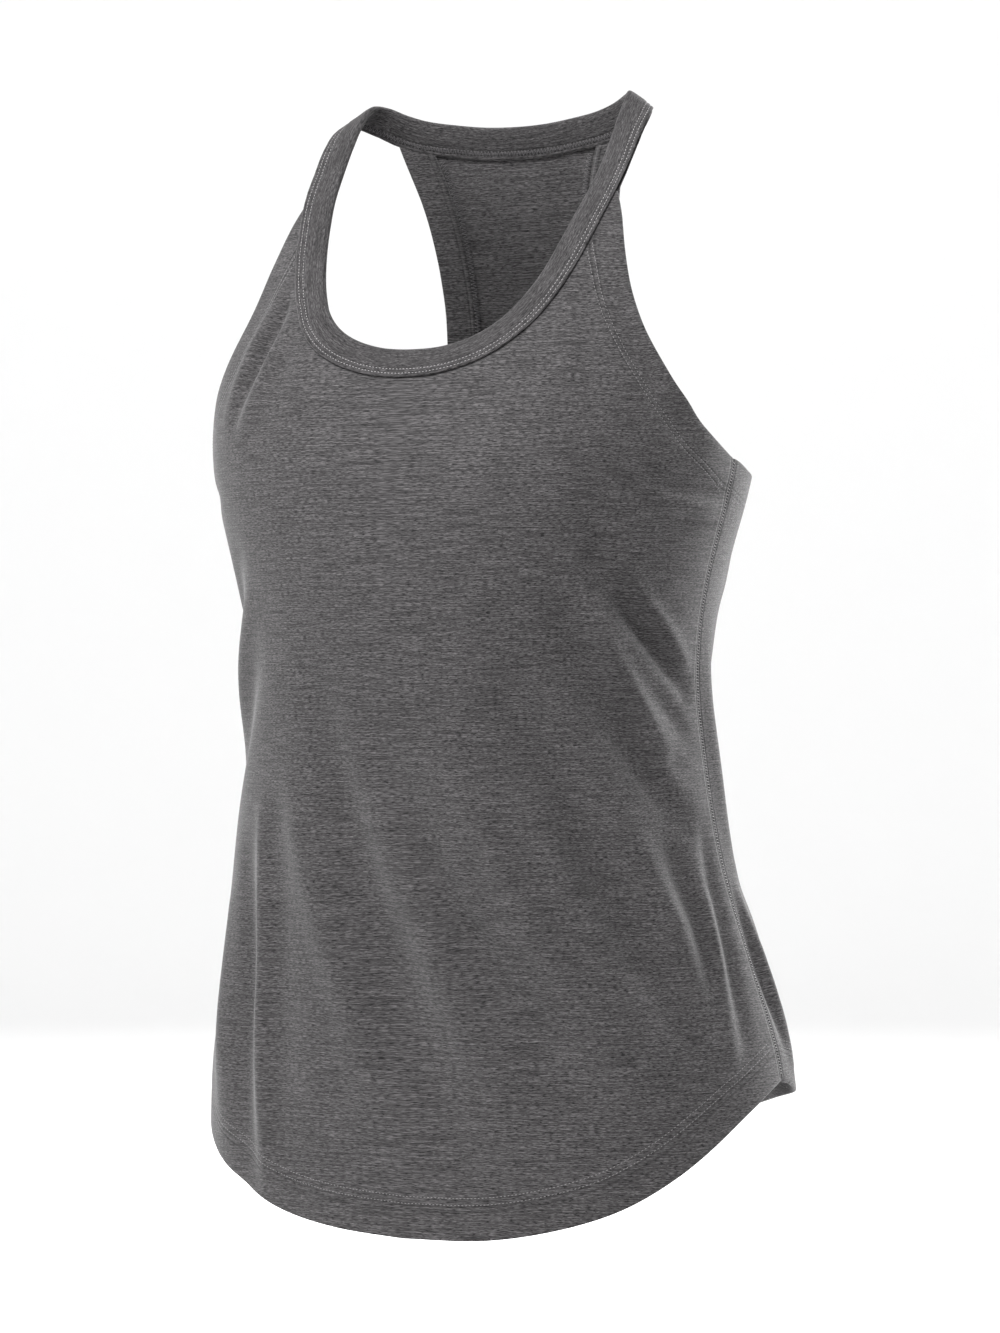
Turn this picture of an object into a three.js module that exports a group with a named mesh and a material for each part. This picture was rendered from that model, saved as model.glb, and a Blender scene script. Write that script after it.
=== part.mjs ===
// Racerback tank top in heather jersey, filled out as it is when worn, with nobody in it.
// Millimetres, +Z up. The front faces -Y and the wearer's left is +X.
// The origin is midway between the two strap tops, on the line of their neck edges.
import * as THREE from "three";

// Driving dimensions
const WALL = 1.2; // one layer of jersey
const LEAF = 1.0; // one layer of the folded neck binding
const SEAM_GAP = 0.3; // between two pieces that are sewn together
const BINDING_WIDTH = 19;
const TUCK = 13; // how far a panel reaches into the fold of the binding
const STRAP_SLOT = 2.5; // depth of the groove where the two edges of a strap are sewn together
const STRAP_GROOVE = 0.4; // width of that groove
const HEM_ALLOWANCE = 20; // cloth turned under along the bottom hem and the armholes
const QUARTER_GIRTH = 235; // from a centre line to a side seam, for measuring along the cloth
const BEND_START = 0.8; // the share of a panel's side line above which it bends to the binding
const NECK_POWER = 4; // higher keeps the curve of the neck to fewer rows of a panel
const HEM_POWER = 2; // higher keeps the curve of the hem to fewer rows
const FOLD_ENDS = 0.4; // the share of its rise that a fold keeps at its two ends
const YOKE_OPEN = 0.2; // how far past a yoke the binding is still wide open, in table rows
const YOKE_CLOSED = 1; // how far past it the binding has closed to the groove of the strap

// Grid of each panel
const HALF_COLUMNS = 16;
const SEAM_ROWS = 22;
const ARMHOLE_ROWS = 14;
const TUCK_ROWS = 2;
const STRAP_STATIONS = 14;

// Steps for reading a slope, and the samples that a curve is measured with
const TURN_STEP = 0.004;
const HEIGHT_STEP = 1;
const DEPTH_STEP = 0.5;
const STATION_STEP = 0.02;
const CURVE_SAMPLES = 200;

// Level sections of the filled garment. The side seam runs down the widest line of each.
// squareness is the power of the superellipse: 2 is a true ellipse.
const SECTIONS = [
  { height: -700, halfWidth: 191, front: -116, seam: 3, back: 110, squareness: 2.2 },
  { height: -640, halfWidth: 189, front: -117, seam: 3, back: 107, squareness: 2.2 },
  { height: -576, halfWidth: 185, front: -119, seam: 1, back: 97, squareness: 2.2 },
  { height: -516, halfWidth: 171.5, front: -122, seam: -9, back: 79, squareness: 2.2 },
  { height: -456, halfWidth: 158, front: -127, seam: -21, back: 66, squareness: 2.2 },
  { height: -396, halfWidth: 148.5, front: -131, seam: -25, back: 62, squareness: 2.2 },
  { height: -346, halfWidth: 145, front: -136, seam: -27.5, back: 66, squareness: 2.2 },
  { height: -296, halfWidth: 150, front: -139, seam: -26, back: 76, squareness: 2.2 },
  { height: -231, halfWidth: 166, front: -134, seam: -24, back: 81, squareness: 2.4 },
  { height: -195, halfWidth: 168, front: -124.5, seam: -22, back: 78, squareness: 2.6 },
  { height: -160, halfWidth: 168, front: -114, seam: -19, back: 66, squareness: 2.4 },
  { height: -130, halfWidth: 166, front: -102, seam: -15, back: 53, squareness: 2.2 },
  { height: -100, halfWidth: 164, front: -86, seam: -11, back: 41, squareness: 2.2 },
  { height: -60, halfWidth: 160, front: -60, seam: -7, back: 27, squareness: 2.2 },
  { height: -20, halfWidth: 152, front: -30, seam: -3, back: 18, squareness: 2.2 },
  { height: 10, halfWidth: 150, front: -10, seam: 0, back: 13, squareness: 2.2 },
];

// Bottom hem: how low it hangs, by the share of the way from the centre line to the side seam.
const HEM = [
  { share: 0, frontLeft: -674, frontRight: -674, back: -638 },
  { share: 0.15, frontLeft: -673, frontRight: -670, back: -634 },
  { share: 0.3, frontLeft: -666, frontRight: -662, back: -621 },
  { share: 0.45, frontLeft: -654, frontRight: -648, back: -607 },
  { share: 0.6, frontLeft: -635, frontRight: -634, back: -599 },
  { share: 0.8, frontLeft: -605, frontRight: -611, back: -592 },
  { share: 0.9, frontLeft: -593, frontRight: -597, back: -588 },
  { share: 1, frontLeft: -583, frontRight: -583, back: -583 },
];

// Armhole edges from the underarm up to the binding, on the same shares.
const ARMHOLES = {
  front: [
    { share: 1, height: -221 },
    { share: 0.85, height: -203 },
    { share: 0.775, height: -190 },
    { share: 0.692, height: -175 },
    { share: 0.6, height: -152 },
    { share: 0.542, height: -128 },
    { share: 0.498, height: -103 },
    { share: 0.466, height: -80 },
    { share: 0.436, height: -64 },
  ],
  back: [
    { share: 1, height: -221 },
    { share: 0.865, height: -228 },
    { share: 0.672, height: -229 },
    { share: 0.464, height: -219 },
    { share: 0.302, height: -196 },
    { share: 0.241, height: -165 },
    { share: 0.234, height: -130 },
    { share: 0.232, height: -95 },
    { share: 0.257, height: -60 },
    { share: 0.328, height: -24 },
  ],
};

// Neck binding on the wearer's left, from the front centre over the shoulder to the back centre.
// fold is its neck edge and edge its sewn edge, each as x, y, z.
const BINDING = [
  { fold: [0, -106, -158], edge: [0, -116, -174.5] },
  { fold: [21, -105.5, -156.5], edge: [24, -115.5, -172.5] },
  { fold: [40, -103.5, -151], edge: [48, -112.5, -165.5] },
  { fold: [53, -100.5, -143.5], edge: [65, -108.5, -156] },
  { fold: [62.5, -95.5, -134], edge: [77, -101.5, -144.5] },
  { fold: [69, -88.5, -123.5], edge: [86, -92.5, -130.5] },
  { fold: [74.5, -80.5, -111], edge: [92.5, -84, -116] },
  { fold: [79.3, -71, -95], edge: [98, -73.5, -98.5] },
  { fold: [83.3, -60.5, -79], edge: [102.3, -62.5, -81] },
  { fold: [86.9, -49, -63], edge: [105.8, -51, -64] },
  { fold: [88.7, -36, -45.5], edge: [107.5, -37.5, -45.5] },
  { fold: [89, -24, -28], edge: [107.9, -24, -28] },
  { fold: [88.5, -13, -13], edge: [107, -12, -17.5] },
  { fold: [86.8, -2, -2.5], edge: [103, -2, -13.2] },
  { fold: [81.5, 6, -2.5], edge: [93, 8, -17.5] },
  { fold: [71, 10.5, -7], edge: [80, 15.5, -24] },
  { fold: [58, 13, -11], edge: [64, 17.5, -29] },
  { fold: [40, 15, -14], edge: [43.5, 20, -32.3] },
  { fold: [20, 16.5, -16.3], edge: [21.5, 21, -35] },
  { fold: [0, 17, -17], edge: [0, 21.5, -35.5] },
];
const FRONT_YOKE = 9; // the rows where each armhole edge meets the binding
const BACK_YOKE = 15;

// The largest folds. turn is 0 at the front centre, 1 at the left side seam, 2 at the back centre
// and below 0 on the wearer's right. rise is how far the cloth stands out, or in below 0.
const FOLDS = [
  // left of the bust, slanting down to the side seam
  { turn: [0.54, 0.9], height: [-272, -362], reach: 15, rise: -4 },
  { turn: [0.54, 0.82], height: [-297, -378], reach: 14, rise: 4 },
  { turn: [0.5, 0.79], height: [-326, -416], reach: 16, rise: -4.5 },
  // left hip, in front of the seam
  { turn: [0.62, 0.8], height: [-430, -515], reach: 20, rise: 5 },
  { turn: [0.88, 0.8], height: [-440, -540], reach: 15, rise: -6 },
  // middle of the front, down to the hem
  { turn: [-0.02, 0.12], height: [-480, -630], reach: 30, rise: -4 },
  { turn: [0.1, 0.22], height: [-470, -600], reach: 26, rise: 3 },
  { turn: [0.19, 0.33], height: [-490, -600], reach: 24, rise: -3 },
  // right hip
  { turn: [-0.43, -0.34], height: [-460, -655], reach: 15, rise: 4 },
  { turn: [-0.55, -0.46], height: [-480, -630], reach: 16, rise: -3.5 },
  { turn: [-0.68, -0.58], height: [-505, -610], reach: 15, rise: 3.5 },
  { turn: [-0.88, -0.8], height: [-470, -560], reach: 15, rise: -5 },
  // right of the bust
  { turn: [-0.56, -0.88], height: [-280, -355], reach: 15, rise: -4 },
  { turn: [-0.52, -0.84], height: [-305, -385], reach: 15, rise: 4 },
  { turn: [-0.5, -0.8], height: [-338, -420], reach: 16, rise: -4 },
  // from the right strap to the armhole
  { turn: [-0.38, -0.49], height: [-112, -185], reach: 14, rise: 2.5 },
  // behind the left seam
  { turn: [1.08, 1.11], height: [-335, -455], reach: 14, rise: 4 },
  { turn: [1.2, 1.22], height: [-350, -470], reach: 15, rise: -4 },
  { turn: [1.22, 1.28], height: [-450, -590], reach: 16, rise: 2.5 },
  // back, hanging from the shoulder blades
  { turn: [1.45, 1.4], height: [-420, -610], reach: 22, rise: -5 },
  { turn: [1.62, 1.6], height: [-380, -615], reach: 22, rise: 5 },
  { turn: [1.82, 1.78], height: [-330, -615], reach: 24, rise: -4 },
  { turn: [-1.95, -1.97], height: [-360, -625], reach: 24, rise: 4 },
  { turn: [-1.72, -1.68], height: [-400, -615], reach: 22, rise: -5 },
  { turn: [-1.48, -1.44], height: [-350, -605], reach: 20, rise: 5 },
  { turn: [-1.26, -1.22], height: [-420, -590], reach: 16, rise: -5 },
  { turn: [-1.09, -1.13], height: [-330, -480], reach: 15, rise: 4.5 },
  // back, from the shoulder blades to the underarms
  { turn: [1.72, 1.3], height: [-222, -290], reach: 16, rise: 3 },
  { turn: [-1.7, -1.32], height: [-232, -304], reach: 16, rise: 3 },
];

// Curves through the tables

// A smooth value from the named column of a table, at a place in its key column.
function readTable(rows, key, column) {
  const slope = (i) => {
    const before = rows[Math.max(i - 1, 0)];
    const after = rows[Math.min(i + 1, rows.length - 1)];
    return (after[column] - before[column]) / (after[key] - before[key]);
  };
  return (place) => {
    let i = rows.findIndex((row) => row[key] > place) - 1;
    if (i < 0) i = place < rows[0][key] ? 0 : rows.length - 2;
    const span = rows[i + 1][key] - rows[i][key];
    const t = THREE.MathUtils.clamp((place - rows[i][key]) / span, 0, 1);
    const ease = t * t * (3 - 2 * t);
    const leave = t * (1 - t) * (1 - t) * span * slope(i);
    const arrive = t * t * (t - 1) * span * slope(i + 1);
    return rows[i][column] + (rows[i + 1][column] - rows[i][column]) * ease + leave + arrive;
  };
}

const section = {
  halfWidth: readTable(SECTIONS, "height", "halfWidth"),
  front: readTable(SECTIONS, "height", "front"),
  seam: readTable(SECTIONS, "height", "seam"),
  back: readTable(SECTIONS, "height", "back"),
  squareness: readTable(SECTIONS, "height", "squareness"),
};
const hem = {
  frontLeft: readTable(HEM, "share", "frontLeft"),
  frontRight: readTable(HEM, "share", "frontRight"),
  back: readTable(HEM, "share", "back"),
};

function mirrored([x, y, z]) {
  return [-x, y, z];
}

// The closed line through one column of the binding table and its mirror image.
function neckLine(column) {
  const left = BINDING.map((row) => row[column]);
  const right = left.slice(1, -1).reverse().map(mirrored);
  const points = [...left, ...right].map((p) => new THREE.Vector3(...p));
  return new THREE.CatmullRomCurve3(points, true, "centripetal");
}

const foldLine = neckLine("fold");
const edgeLine = neckLine("edge");
const RING_STATIONS = foldLine.points.length;

// The middle of the binding at a depth from its fold and a station, counted in table rows.
function bindingPoint(depth, station) {
  const along = THREE.MathUtils.euclideanModulo(station / RING_STATIONS, 1);
  return foldLine.getPoint(along).lerp(edgeLine.getPoint(along), depth / BINDING_WIDTH);
}

function sewnEdge(station) {
  return bindingPoint(BINDING_WIDTH, station);
}

// The cloth

function foldRise(turn, height) {
  let total = 0;
  for (const fold of FOLDS) {
    const start = new THREE.Vector2(fold.turn[0] * QUARTER_GIRTH, fold.height[0]);
    const run = new THREE.Vector2(fold.turn[1] * QUARTER_GIRTH, fold.height[1]).sub(start);
    let away = turn - fold.turn[0];
    away -= 4 * Math.round(away / 4);
    const place = new THREE.Vector2(away * QUARTER_GIRTH, height - fold.height[0]);
    const along = THREE.MathUtils.clamp(place.dot(run) / run.lengthSq(), 0, 1);
    const off = place.addScaledVector(run, -along).length() / fold.reach;
    const swell = FOLD_ENDS + (1 - FOLD_ENDS) * Math.sin(Math.PI * along);
    total += fold.rise * swell * Math.exp(-off * off);
  }
  return total;
}

function smoothCloth(turn, height) {
  const angle = (turn * Math.PI) / 2;
  const power = 2 / section.squareness(height);
  const across = Math.sign(Math.sin(angle)) * Math.abs(Math.sin(angle)) ** power;
  const seam = section.seam(height);
  const reach = (Math.cos(angle) > 0 ? section.front(height) : section.back(height)) - seam;
  const y = seam + reach * Math.abs(Math.cos(angle)) ** power;
  return new THREE.Vector3(section.halfWidth(height) * across, y, height);
}

// The outward direction of a surface, from two points close by in each direction.
function outward(surface, a, b, stepA, stepB) {
  const alongA = surface(a + stepA, b).sub(surface(a - stepA, b));
  const alongB = surface(a, b + stepB).sub(surface(a, b - stepB));
  return alongA.cross(alongB).normalize();
}

function clothPoint(turn, height) {
  const out = outward(smoothCloth, turn, height, TURN_STEP, HEIGHT_STEP);
  return smoothCloth(turn, height).addScaledVector(out, foldRise(turn, height));
}

// The share of a point of the section at its own height, from 0 at the centre line to 1 at a seam.
function shareOf(point) {
  const x = Math.min(Math.abs(point.x) / section.halfWidth(point.z), 1);
  return (Math.asin(x ** (section.squareness(point.z) / 2)) * 2) / Math.PI;
}

// The two panels. across runs from -1 at the wearer's right edge to 1 at the left edge.

const PANELS = {
  front: {
    turnAt: (across) => across,
    hemAt: (across) => (across > 0 ? hem.frontLeft : hem.frontRight)(Math.abs(across)),
    centreStation: 0,
    yoke: FRONT_YOKE,
    towardsSeam: -1,
  },
  back: {
    turnAt: (across) => (across < 0 ? -2 - across : 2 - across),
    hemAt: (across) => hem.back(Math.abs(across)),
    centreStation: BINDING.length - 1,
    yoke: BACK_YOKE,
    towardsSeam: 1,
  },
};

// How far along its line each point lies, from 0 to 1.
function shares(points) {
  const lengths = [0];
  for (let i = 1; i < points.length; i++)
    lengths.push(lengths[i - 1] + points[i].distanceTo(points[i - 1]));
  return lengths.map((length) => length / lengths[points.length - 1]);
}

// Equally spaced places along a line that place(t) walks as t goes from 0 to 1.
function evenly(place, pointOf, count) {
  const samples = Array.from({ length: CURVE_SAMPLES + 1 }, (_, k) => place(k / CURVE_SAMPLES));
  const reached = shares(samples.map(pointOf));
  return Array.from({ length: count + 1 }, (_, k) => {
    const wanted = k / count;
    const after = Math.max(reached.findIndex((share) => share >= wanted), 1);
    const before = after - 1;
    const part = (wanted - reached[before]) / (reached[after] - reached[before]);
    return place((before + part) / CURVE_SAMPLES);
  });
}

// The left edge of a panel, from the hem up the side seam and the armhole to the binding.
function sideLine(name) {
  const panel = PANELS[name];
  const rows = ARMHOLES[name];
  const steps = rows.map((row, step) => ({ ...row, step }));
  const share = readTable(steps, "step", "share");
  const height = readTable(steps, "step", "height");
  const place = (t) => ({
    share: Math.min(share(t * (rows.length - 1)), 1),
    height: height(t * (rows.length - 1)),
  });
  const pointOf = (p) => smoothCloth(panel.turnAt(p.share), p.height);
  const bottom = panel.hemAt(1);
  const seam = Array.from({ length: SEAM_ROWS }, (_, k) => ({
    share: 1,
    height: bottom + ((rows[0].height - bottom) * k) / SEAM_ROWS,
  }));
  return [...seam, ...evenly(place, pointOf, ARMHOLE_ROWS)];
}

// Stations on the binding's sewn edge for half a panel, from its centre to the yoke.
function neckStations(name) {
  const { centreStation, yoke } = PANELS[name];
  return evenly((t) => centreStation + t * (yoke - centreStation), sewnEdge, HALF_COLUMNS);
}

// A panel's wall as rows of points and outward directions, from the hem to the edge inside the
// binding. Each row rises from the centre line to its own place on the side line, and the last
// rows bend to meet the binding.
function panelGrid(name) {
  const { turnAt, hemAt, towardsSeam } = PANELS[name];
  const { lerp, smoothstep } = THREE.MathUtils;
  const side = sideLine(name);
  const top = side[side.length - 1];
  const ups = shares(side.map((p) => smoothCloth(turnAt(p.share), p.height)));
  const stations = neckStations(name);
  const columns = [];
  for (let i = -HALF_COLUMNS; i <= HALF_COLUMNS; i++) {
    const across = i / HALF_COLUMNS;
    const station = (i < 0 ? -1 : 1) * stations[Math.abs(i)];
    const neck = sewnEdge(station);
    const turn = turnAt(Math.sign(across) * shareOf(neck));
    columns.push({ across, station, neck, miss: neck.clone().sub(clothPoint(turn, neck.z)) });
  }
  const hemCentre = hemAt(0);
  const neckCentre = columns[HALF_COLUMNS].neck.z;

  const grid = side.map((place, j) =>
    columns.map(({ across, neck, miss }) => {
      const up = ups[j];
      const nearNeck = up ** NECK_POWER;
      const nearHem = (1 - up) ** HEM_POWER;
      const aside = Math.abs(across);
      const lift = across * across;
      const share = aside * place.share + nearNeck * (shareOf(neck) - aside * top.share);
      const height =
        lerp(lerp(hemCentre, neckCentre, up), place.height, lift) +
        nearHem * (hemAt(across) - lerp(hemCentre, hemAt(1), lift)) +
        nearNeck * (neck.z - lerp(neckCentre, top.height, lift));
      const turn = turnAt(Math.sign(across) * share);
      const point = clothPoint(turn, height);
      point.addScaledVector(miss, smoothstep(up, BEND_START, 1));
      if (share === 1) point.y += (towardsSeam * SEAM_GAP) / 2;
      return { point, out: outward(clothPoint, turn, height, TURN_STEP, HEIGHT_STEP) };
    }),
  );
  for (let k = 1; k <= TUCK_ROWS; k++) {
    const depth = BINDING_WIDTH - (TUCK * k) / TUCK_ROWS;
    grid.push(
      columns.map(({ station }) => ({
        point: bindingPoint(depth, station),
        out: outward(bindingPoint, depth, station, DEPTH_STEP, STATION_STEP),
      })),
    );
  }
  return grid;
}

// How far a point lies from a line of points.
function distanceToLine(point, line) {
  const near = new THREE.Vector3();
  let least = Infinity;
  for (let i = 1; i < line.length; i++) {
    new THREE.Line3(line[i - 1], line[i]).closestPointToPoint(point, true, near);
    least = Math.min(least, near.distanceTo(point));
  }
  return least;
}

// Meshes

// One closed body from a list of points and quads, with its faces turned out.
function bodyOf(points, quads) {
  const index = quads.flatMap(([a, b, c, d]) => [a, b, c, a, c, d]);
  let volume = 0;
  for (let i = 0; i < index.length; i += 3) {
    const [a, b, c] = index.slice(i, i + 3).map((k) => points[k]);
    volume += a.dot(b.clone().cross(c));
  }
  if (volume < 0) index.reverse();
  const geometry = new THREE.BufferGeometry().setFromPoints(points);
  geometry.setIndex(index);
  geometry.computeVertexNormals();
  return geometry;
}

// Quads between neighbouring loops of the same number of points. ring joins the last to the first.
function quadsBetween(loops, size, ring) {
  const quads = [];
  for (let j = 0; j < (ring ? loops : loops - 1); j++)
    for (let k = 0; k < size; k++) {
      const next = (j + 1) % loops;
      const step = (k + 1) % size;
      quads.push([j * size + k, j * size + step, next * size + step, next * size + k]);
    }
  return quads;
}

// A panel is a flat tube of loops: out along the outer face of a row and back along the inner.
function panelGeometry(name) {
  const grid = panelGrid(name);
  const columns = grid[0].length;
  const clothRows = grid.length - TUCK_ROWS;
  const edgeRows = grid.slice(SEAM_ROWS, clothRows);
  const hemmed = [
    grid[0].map((cell) => cell.point),
    edgeRows.map((row) => row[0].point),
    edgeRows.map((row) => row[columns - 1].point),
  ];
  const points = [];
  grid.forEach((row, j) => {
    const outer = [];
    const inner = [];
    for (const { point, out } of row) {
      const away = Math.min(...hemmed.map((line) => distanceToLine(point, line)));
      const turned = j < clothRows - 1 && away < HEM_ALLOWANCE ? WALL : 0;
      outer.push(point.clone().addScaledVector(out, WALL / 2));
      inner.push(point.clone().addScaledVector(out, -WALL / 2 - turned));
    }
    points.push(...outer, ...inner.reverse());
  });
  const size = 2 * columns;
  const quads = quadsBetween(grid.length, size, false);
  const last = (grid.length - 1) * size;
  for (let k = 0; k < columns - 1; k++) {
    quads.push([k, size - 1 - k, size - 2 - k, k + 1]);
    quads.push([last + k, last + k + 1, last + size - 2 - k, last + size - 1 - k]);
  }
  return bodyOf(points, quads);
}

// How far the binding is open for a panel, from 1 on a panel to 0 along the strap.
function openness(station) {
  const left = Math.min(station, RING_STATIONS - station);
  const { smoothstep } = THREE.MathUtils;
  const pastFront = smoothstep(left - FRONT_YOKE, YOKE_OPEN, YOKE_CLOSED);
  const pastBack = smoothstep(BACK_YOKE - left, YOKE_OPEN, YOKE_CLOSED);
  return 1 - Math.min(pastFront, pastBack);
}

// The binding is a folded strip: two leaves joined along the neck edge, with the panels between.
function bindingGeometry() {
  const strap = evenly((t) => FRONT_YOKE + t * (BACK_YOKE - FRONT_YOKE), sewnEdge, STRAP_STATIONS);
  const left = [...neckStations("front"), ...strap.slice(1, -1), ...neckStations("back").reverse()];
  const right = left.slice(1, -1).reverse().map((station) => RING_STATIONS - station);
  const stations = [...left, ...right];
  const points = [];
  for (const station of stations) {
    const open = openness(station);
    const floor = BINDING_WIDTH - THREE.MathUtils.lerp(STRAP_SLOT, TUCK + 2 * SEAM_GAP, open);
    const slot = THREE.MathUtils.lerp(STRAP_GROOVE, WALL + 2 * SEAM_GAP, open) / 2;
    const face = slot + LEAF;
    const outline = [
      [BINDING_WIDTH, face],
      [LEAF, face],
      [0, face / 2],
      [0, -face / 2],
      [LEAF, -face],
      [BINDING_WIDTH, -face],
      [BINDING_WIDTH, -slot],
      [floor, -slot],
      [floor, slot],
      [BINDING_WIDTH, slot],
    ];
    for (const [depth, off] of outline) {
      const out = outward(bindingPoint, depth, station, DEPTH_STEP, STATION_STEP);
      points.push(bindingPoint(depth, station).addScaledVector(out, off));
    }
  }
  return bodyOf(points, quadsBetween(stations.length, points.length / stations.length, true));
}

// The garment

function jersey(colour) {
  return new THREE.MeshStandardMaterial({ color: colour, roughness: 0.95, metalness: 0 });
}

const PIECES = [
  { name: "front_panel", geometry: panelGeometry("front"), material: jersey("#5d5a5b") },
  { name: "back_panel", geometry: panelGeometry("back"), material: jersey("#565354") },
  { name: "neck_binding", geometry: bindingGeometry(), material: jersey("#6b6869") },
];

const tankTop = new THREE.Group();
for (const { name, geometry, material } of PIECES) {
  const mesh = new THREE.Mesh(geometry, material);
  mesh.name = name;
  tankTop.add(mesh);
}

export default tankTop;
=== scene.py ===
# %% [markdown]
# # A racerback tank top in heather jersey
# The garment has three cut pieces: a front, a back, and one folded strip that binds the neck and
# makes both straps. It is filled out as it is when worn, and it is empty inside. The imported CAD
# model gives the frame: metres, +Z up, the front faces -Y, the wearer's left is +X.

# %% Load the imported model
import math

import bmesh
import bpy
import numpy as np
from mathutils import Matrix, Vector, kdtree


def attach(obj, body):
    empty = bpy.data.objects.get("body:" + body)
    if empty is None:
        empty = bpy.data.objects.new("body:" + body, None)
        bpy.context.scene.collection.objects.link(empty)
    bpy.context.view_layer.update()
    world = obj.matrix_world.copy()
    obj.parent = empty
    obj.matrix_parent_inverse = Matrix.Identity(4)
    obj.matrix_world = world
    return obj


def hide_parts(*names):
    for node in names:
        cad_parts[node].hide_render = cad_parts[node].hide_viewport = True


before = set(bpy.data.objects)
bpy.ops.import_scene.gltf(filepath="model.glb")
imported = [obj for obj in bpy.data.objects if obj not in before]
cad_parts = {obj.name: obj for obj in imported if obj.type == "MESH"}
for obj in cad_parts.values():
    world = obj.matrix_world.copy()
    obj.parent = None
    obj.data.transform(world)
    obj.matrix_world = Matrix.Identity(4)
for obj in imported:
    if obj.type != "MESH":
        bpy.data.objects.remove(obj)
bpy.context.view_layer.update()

MM = 0.001

# %% [markdown]
# ## The camera
# The photograph is taken from the wearer's left, level with the middle of the garment and from a
# few metres away, so the lens is long. The lens could be guessed and the camera moved until the
# picture fits. Here it follows from the garment's size instead: the picture's height in pixels, and
# the size of a pixel at the garment.

# %% Camera
AZIMUTH = math.radians(29)
DISTANCE = 3.0
EYE_HEIGHT = -0.3419
SIDE_STEP = -0.0006
PHOTO_ROWS = 1333
PIXEL = 0.6  # millimetres at the garment
SENSOR = 36

camera_data = bpy.data.cameras.new("camera")
camera_data.sensor_width = SENSOR
camera_data.lens = SENSOR * DISTANCE / (PHOTO_ROWS * PIXEL * MM)
camera = bpy.data.objects.new("camera", camera_data)
to_camera = Vector((math.sin(AZIMUTH), -math.cos(AZIMUTH), 0))
to_right = Vector((math.cos(AZIMUTH), math.sin(AZIMUTH), 0))
camera.location = to_camera * DISTANCE + to_right * SIDE_STEP + Vector((0, 0, EYE_HEIGHT))
camera.rotation_euler = (math.pi / 2, 0, AZIMUTH)
bpy.context.collection.objects.link(camera)
bpy.context.scene.camera = camera
print("lens of", round(camera_data.lens, 1), "mm")

# %% [markdown]
# ## The form of the cloth
# Jersey has no stiffness of its own, so its form is the figure that it was cut for plus the folds
# that hang between the places where it is held. A simulation would need that figure, and would lose
# the few creases that make this garment. So the form is worked out from level sections, and the
# creases are laid on it, each with its own place, width and rise. A point of the cloth has
# a turn, 0 at the front centre, 1 at the left side seam and 2 at the back centre, and a height.
# Sizes are in millimetres until the meshes are made.

# %% Sizes of the sections, hem and armholes
SECTIONS = {
    "height": [
        -700, -640, -576, -516, -456, -396, -346, -296, -231, -195, -160, -130, -100, -60, -20, 10,
    ],
    "half_width": [
        191, 189, 185, 171.5, 158, 148.5, 145, 150, 166, 168, 168, 166, 164, 160, 152, 150,
    ],
    "front": [
        -116, -117, -119, -122, -127, -131, -136, -139,
        -134, -124.5, -114, -102, -86, -60, -30, -10,
    ],
    "seam": [3, 3, 1, -9, -21, -25, -27.5, -26, -24, -22, -19, -15, -11, -7, -3, 0],
    "back": [110, 107, 97, 79, 66, 62, 66, 76, 81, 78, 66, 53, 41, 27, 18, 13],
    "squareness": [2.2, 2.2, 2.2, 2.2, 2.2, 2.2, 2.2, 2.2, 2.4, 2.6, 2.4, 2.2, 2.2, 2.2, 2.2, 2.2],
}
HEM = {
    "share": [0, 0.15, 0.3, 0.45, 0.6, 0.8, 0.9, 1],
    "front_left": [-674, -673, -666, -654, -635, -605, -593, -583],
    "front_right": [-674, -670, -662, -648, -634, -611, -597, -583],
    "back": [-638, -634, -621, -607, -599, -592, -588, -583],
}
FRONT_ARMHOLE = {
    "share": [1, 0.85, 0.775, 0.692, 0.6, 0.542, 0.498, 0.466, 0.436],
    "height": [-221, -203, -190, -175, -152, -128, -103, -80, -64],
}
BACK_ARMHOLE = {
    "share": [1, 0.865, 0.672, 0.464, 0.302, 0.241, 0.234, 0.232, 0.257, 0.328],
    "height": [-221, -228, -229, -219, -196, -165, -130, -95, -60, -24],
}
QUARTER_GIRTH = 235  # length of one turn
print("sections:", len(SECTIONS["height"]))

# %% Read a smooth value from a table
def through(keys, values):
    """A function that passes smoothly through the values at their keys."""
    keys, values = np.array(keys, float), np.array(values, float)
    order = np.arange(len(keys))
    before, after = np.maximum(order - 1, 0), np.minimum(order + 1, len(keys) - 1)
    slopes = (values[after] - values[before]) / (keys[after] - keys[before])

    def at(place):
        place = np.clip(place, keys[0], keys[-1])
        i = np.clip(np.searchsorted(keys, place, side="right") - 1, 0, len(keys) - 2)
        span = keys[i + 1] - keys[i]
        t = (place - keys[i]) / span
        ease = t * t * (3 - 2 * t)
        leave = t * (1 - t) ** 2 * span * slopes[i]
        arrive = t * t * (t - 1) * span * slopes[i + 1]
        return values[i] + (values[i + 1] - values[i]) * ease + leave + arrive

    return at


section = {name: through(SECTIONS["height"], SECTIONS[name]) for name in SECTIONS}
hem = {name: through(HEM["share"], HEM[name]) for name in HEM}
print("half width at the waist:", float(section["half_width"](-346)), "mm")

# %% Smooth form, without folds
def smooth_cloth(turn, height):
    """Points on the superellipse of each height."""
    angle = np.asarray(turn) * (np.pi / 2)
    power = 2 / section["squareness"](height)
    aside, ahead = np.sin(angle), np.cos(angle)
    seam = section["seam"](height)
    reach = np.where(ahead > 0, section["front"](height), section["back"](height)) - seam
    x = section["half_width"](height) * np.sign(aside) * np.abs(aside) ** power
    y = seam + reach * np.abs(ahead) ** power
    return np.stack(np.broadcast_arrays(x, y, height), -1)


def unit(vectors):
    return vectors / np.linalg.norm(vectors, axis=-1, keepdims=True)


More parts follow.
